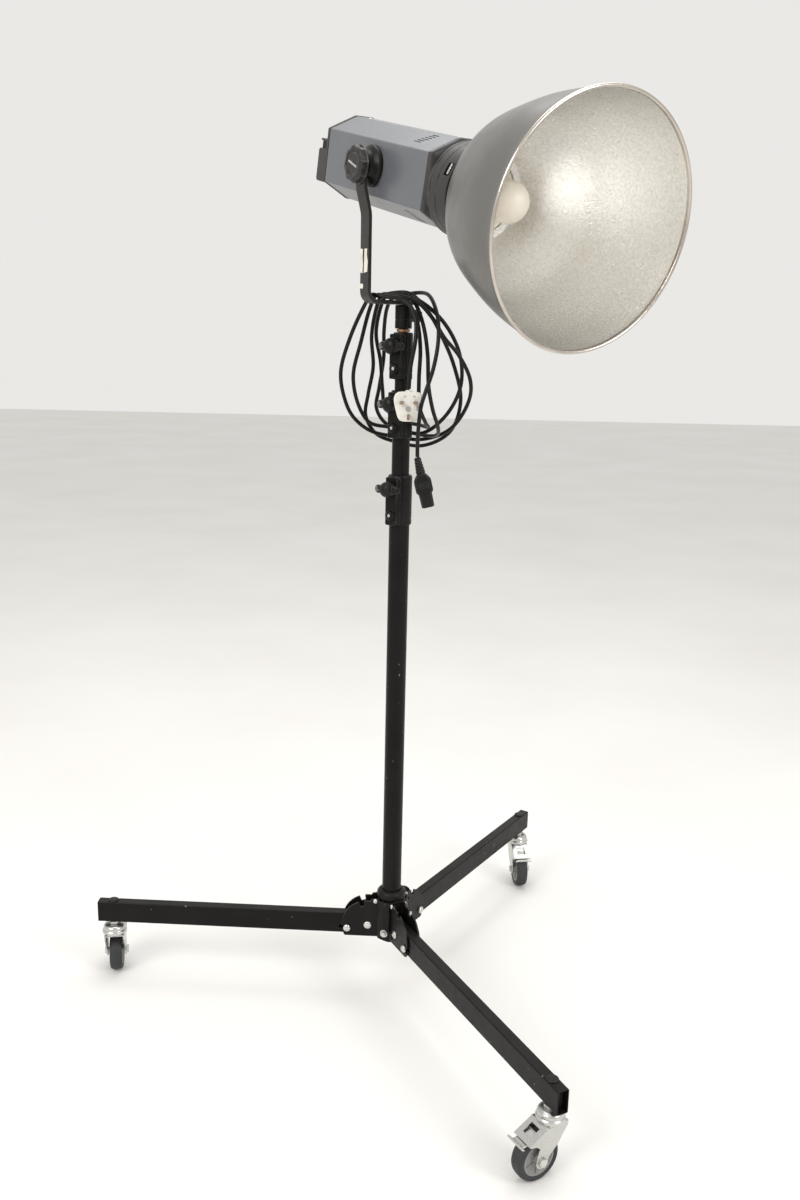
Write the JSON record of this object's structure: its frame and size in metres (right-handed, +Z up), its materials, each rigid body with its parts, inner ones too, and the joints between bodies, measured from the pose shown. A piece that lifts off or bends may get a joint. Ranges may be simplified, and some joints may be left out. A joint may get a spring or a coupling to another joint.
{
  "type": "studio flash head on wheeled stand",
  "caption": "Studio flash head with a deep dish reflector and frosted dome, tilting in a yoke on a telescopic stand with folding legs, braked casters and a hung mains lead.",
  "frame": {"origin": "middle of the footprint of everything but the mains lead, on the floor", "axes": "+Z up along the mast, +X towards the right of the front view, -Y towards the viewer of the front view"},
  "size_m": [0.9434, 0.9904, 1.5633],
  "materials": {
    "black_steel": "black powder-coated steel tube, satin",
    "black_casting": "black painted die casting",
    "bronze_paint": "dark brown-black stove enamel, worn",
    "zinc_plate": "bright zinc-plated pressed steel",
    "tyre": "dark grey solid rubber tread",
    "grey_plastic": "moulded grey wheel centre",
    "black_plastic": "moulded black plastic, fine texture",
    "white_plastic": "moulded off-white plastic",
    "flex": "black round flexible mains cable sheath",
    "housing_paint": "light blue-grey hammered paint, satin",
    "dark_casting": "dark grey-brown textured paint",
    "dish_metal": "spun aluminium, satin outside and dimpled silver inside",
    "frosted_glass": "frosted warm glass",
    "clear_glass": "clear quartz tube",
    "brass": "turned brass, dull",
    "capacitor_sleeve": "blue shrink sleeve",
    "circuit_laminate": "green circuit laminate"
  },
  "bodies": {
    "stand": {"main_tube": "black_steel", "hub_sleeve": "black_steel", "leg_bracket_a": "black_steel", "leg_bracket_b": "black_steel", "leg_bracket_c": "black_steel", "clamp_lower": "black_casting"},
    "leg_a": {"leg_tube_a": "black_steel", "caster_stem_a": "black_steel"},
    "lock_pin_a": {"lock_pin_a": "zinc_plate"},
    "caster_a": {"caster_fork_a": "zinc_plate"},
    "wheel_a": {"tyre_a": "tyre", "wheel_hub_a": "grey_plastic"},
    "brake_a": {"brake_pedal_a": "zinc_plate"},
    "leg_b": {"leg_tube_b": "black_steel", "caster_stem_b": "black_steel"},
    "lock_pin_b": {"lock_pin_b": "zinc_plate"},
    "caster_b": {"caster_fork_b": "zinc_plate"},
    "wheel_b": {"tyre_b": "tyre", "wheel_hub_b": "grey_plastic"},
    "brake_b": {"brake_pedal_b": "zinc_plate"},
    "leg_c": {"leg_tube_c": "black_steel", "caster_stem_c": "black_steel"},
    "lock_pin_c": {"lock_pin_c": "zinc_plate"},
    "caster_c": {"caster_fork_c": "zinc_plate"},
    "wheel_c": {"tyre_c": "tyre", "wheel_hub_c": "grey_plastic"},
    "brake_c": {"brake_pedal_c": "zinc_plate"},
    "clamp_knob_lower": {"clamp_knob_lower": "black_plastic"},
    "mast_middle": {"mast_tube_middle": "black_steel", "clamp_middle": "black_casting"},
    "clamp_knob_middle": {"clamp_knob_middle": "black_plastic"},
    "mast_top": {"mast_tube_top": "black_steel", "clamp_top": "black_casting", "spigot": "brass"},
    "clamp_knob_top": {"clamp_knob_top": "black_plastic"},
    "yoke": {"yoke_arm": "bronze_paint", "spigot_adaptor": "black_casting", "mains_lead": "flex", "mains_plug": "white_plastic", "inlet_connector": "black_plastic"},
    "adaptor_knob": {"adaptor_knob": "black_plastic"},
    "tilt_knob": {"tilt_knob": "black_plastic"},
    "head": {"housing_shell": "housing_paint", "rear_panel": "dark_casting", "front_bezel": "dark_casting", "tilt_boss": "black_plastic", "lamp_carrier": "dark_casting", "flash_tube": "clear_glass", "modelling_lamp": "clear_glass", "glass_dome": "frosted_glass", "capacitor_bank": "capacitor_sleeve", "circuit_board": "circuit_laminate", "mains_inlet": "black_plastic"},
    "reflector": {"reflector": "dish_metal"},
    "release_latch": {"release_latch": "zinc_plate"},
    "power_dial": {"power_dial": "black_plastic"},
    "lamp_dial": {"lamp_dial": "black_plastic"},
    "test_button": {"test_button": "black_plastic"},
    "rocker_switch": {"rocker_switch": "black_plastic"},
    "fan_rotor": {"fan_rotor": "black_plastic"}
  },
  "joints": [
    {"name": "leg_fold_a", "type": "hinge", "parent": "stand", "child": "leg_a", "pos_m": [0.04023, 0.02357, 0.136], "axis": [0.0436, 0.999, 0], "range_deg": [0, 86]},
    {"name": "lock_pin_slide_a", "type": "slide", "parent": "leg_a", "child": "lock_pin_a", "axis": [-0.999, 0.0436, 0], "range_m": [0, 0.0115], "stiffness_N_per_m": 400, "springref_m": -0.004},
    {"name": "caster_swivel_a", "type": "hinge", "parent": "leg_a", "child": "caster_a", "pos_m": [-0.44331, 0.04468, 0], "axis": [0, 0, 1], "continuous": true},
    {"name": "wheel_spin_a", "type": "hinge", "parent": "caster_a", "child": "wheel_a", "pos_m": [-0.44782, 0.07029, 0.0375], "axis": [-0.9848, -0.1736, 0], "continuous": true},
    {"name": "brake_press_a", "type": "hinge", "parent": "caster_a", "child": "brake_a", "pos_m": [-0.45095, 0.08801, 0.0743], "axis": [-0.9848, -0.1736, 0], "range_deg": [0, 6]},
    {"name": "leg_fold_b", "type": "hinge", "parent": "stand", "child": "leg_b", "pos_m": [0.1063, 0.05796, 0.136], "axis": [0.8434, -0.5373, 0], "range_deg": [0, 86]},
    {"name": "lock_pin_slide_b", "type": "slide", "parent": "leg_b", "child": "lock_pin_b", "axis": [0.5373, 0.8434, 0], "range_m": [0, 0.0115], "stiffness_N_per_m": 400, "springref_m": -0.004},
    {"name": "caster_swivel_b", "type": "hinge", "parent": "leg_b", "child": "caster_b", "pos_m": [0.36635, 0.46616, 0], "axis": [0, 0, 1], "continuous": true},
    {"name": "wheel_spin_b", "type": "hinge", "parent": "caster_b", "child": "wheel_b", "pos_m": [0.36997, 0.44042, 0.0375], "axis": [0.9903, 0.1392, 0], "continuous": true},
    {"name": "brake_press_b", "type": "hinge", "parent": "caster_b", "child": "brake_b", "pos_m": [0.37247, 0.42259, 0.0743], "axis": [0.9903, 0.1392, 0], "range_deg": [0, 6]},
    {"name": "leg_fold_c", "type": "hinge", "parent": "stand", "child": "leg_c", "pos_m": [0.10305, -0.01645, 0.136], "axis": [-0.887, -0.4617, 0], "range_deg": [0, 86]},
    {"name": "lock_pin_slide_c", "type": "slide", "parent": "leg_c", "child": "lock_pin_c", "axis": [0.4617, -0.887, 0], "range_m": [0, 0.0115], "stiffness_N_per_m": 400, "springref_m": -0.004},
    {"name": "caster_swivel_c", "type": "hinge", "parent": "leg_c", "child": "caster_c", "pos_m": [0.32653, -0.44576, 0], "axis": [0, 0, 1], "continuous": true},
    {"name": "wheel_spin_c", "type": "hinge", "parent": "caster_c", "child": "wheel_c", "pos_m": [0.30449, -0.45954, 0.0375], "axis": [0.5299, -0.848, 0], "continuous": true},
    {"name": "brake_press_c", "type": "hinge", "parent": "caster_c", "child": "brake_c", "pos_m": [0.28922, -0.46908, 0.0743], "axis": [0.5299, -0.848, 0], "range_deg": [0, 6]},
    {"name": "clamp_knob_lower_turn", "type": "hinge", "parent": "stand", "child": "clamp_knob_lower", "pos_m": [0.08319, 0.02169, 0.957], "axis": [0.5878, 0.809, 0], "range_deg": [0, 300]},
    {"name": "mast_middle_slide", "type": "slide", "parent": "stand", "child": "mast_middle", "axis": [0, 0, 1], "range_m": [-0.06, 0.55]},
    {"name": "clamp_knob_middle_turn", "type": "hinge", "parent": "mast_middle", "child": "clamp_knob_middle", "pos_m": [0.08319, 0.02169, 1.098], "axis": [0.5878, 0.809, 0], "range_deg": [0, 300]},
    {"name": "mast_top_slide", "type": "slide", "parent": "mast_middle", "child": "mast_top", "axis": [0, 0, 1], "range_m": [-0.015, 0.5]},
    {"name": "clamp_knob_top_turn", "type": "hinge", "parent": "mast_top", "child": "clamp_knob_top", "pos_m": [0.08319, 0.02169, 1.192], "axis": [0.5878, 0.809, 0], "range_deg": [0, 300]},
    {"name": "head_pan", "type": "hinge", "parent": "mast_top", "child": "yoke", "pos_m": [0.08319, 0.02169, 1.24], "axis": [0, 0, 1], "continuous": true},
    {"name": "adaptor_knob_turn", "type": "hinge", "parent": "yoke", "child": "adaptor_knob", "pos_m": [0.08319, 0.02169, 1.241], "axis": [0.8329, 0.5534, 0], "range_deg": [0, 300]},
    {"name": "tilt_knob_turn", "type": "hinge", "parent": "yoke", "child": "tilt_knob", "pos_m": [0.08319, 0.02169, 1.466], "axis": [-0.8329, -0.5534, 0], "range_deg": [0, 300]},
    {"name": "head_tilt", "type": "hinge", "parent": "yoke", "child": "head", "pos_m": [0.08319, 0.02169, 1.466], "axis": [0.8329, 0.5534, 0], "range_deg": [-58, 31]},
    {"name": "reflector_twist", "type": "hinge", "parent": "head", "child": "reflector", "pos_m": [0.17937, -0.12306, 1.41875], "axis": [0.5385, -0.8106, -0.2301], "range_deg": [0, 30]},
    {"name": "latch_slide", "type": "slide", "parent": "head", "child": "release_latch", "axis": [-0.5385, 0.8106, 0.2301], "range_m": [0, 0.004], "stiffness_N_per_m": 300, "springref_m": -0.002},
    {"name": "power_dial_turn", "type": "hinge", "parent": "head", "child": "power_dial", "pos_m": [0.07091, 0.0185, 1.44848], "axis": [0.5385, -0.8106, -0.2301], "range_deg": [-140, 140]},
    {"name": "lamp_dial_turn", "type": "hinge", "parent": "head", "child": "lamp_dial", "pos_m": [0.0909, 0.03179, 1.44848], "axis": [0.5385, -0.8106, -0.2301], "range_deg": [-140, 140]},
    {"name": "test_press", "type": "slide", "parent": "head", "child": "test_button", "axis": [0.5385, -0.8106, -0.2301], "range_m": [0, 0.002], "stiffness_N_per_m": 300, "springref_m": -0.001},
    {"name": "rocker_tip", "type": "hinge", "parent": "head", "child": "rocker_switch", "pos_m": [0.01528, 0.18535, 1.47936], "axis": [0.8329, 0.5534, 0], "range_deg": [0, 14]},
    {"name": "fan_spin", "type": "hinge", "parent": "head", "child": "fan_rotor", "pos_m": [0.13521, -0.05659, 1.43762], "axis": [0.5385, -0.8106, -0.2301], "continuous": true}
  ]
}
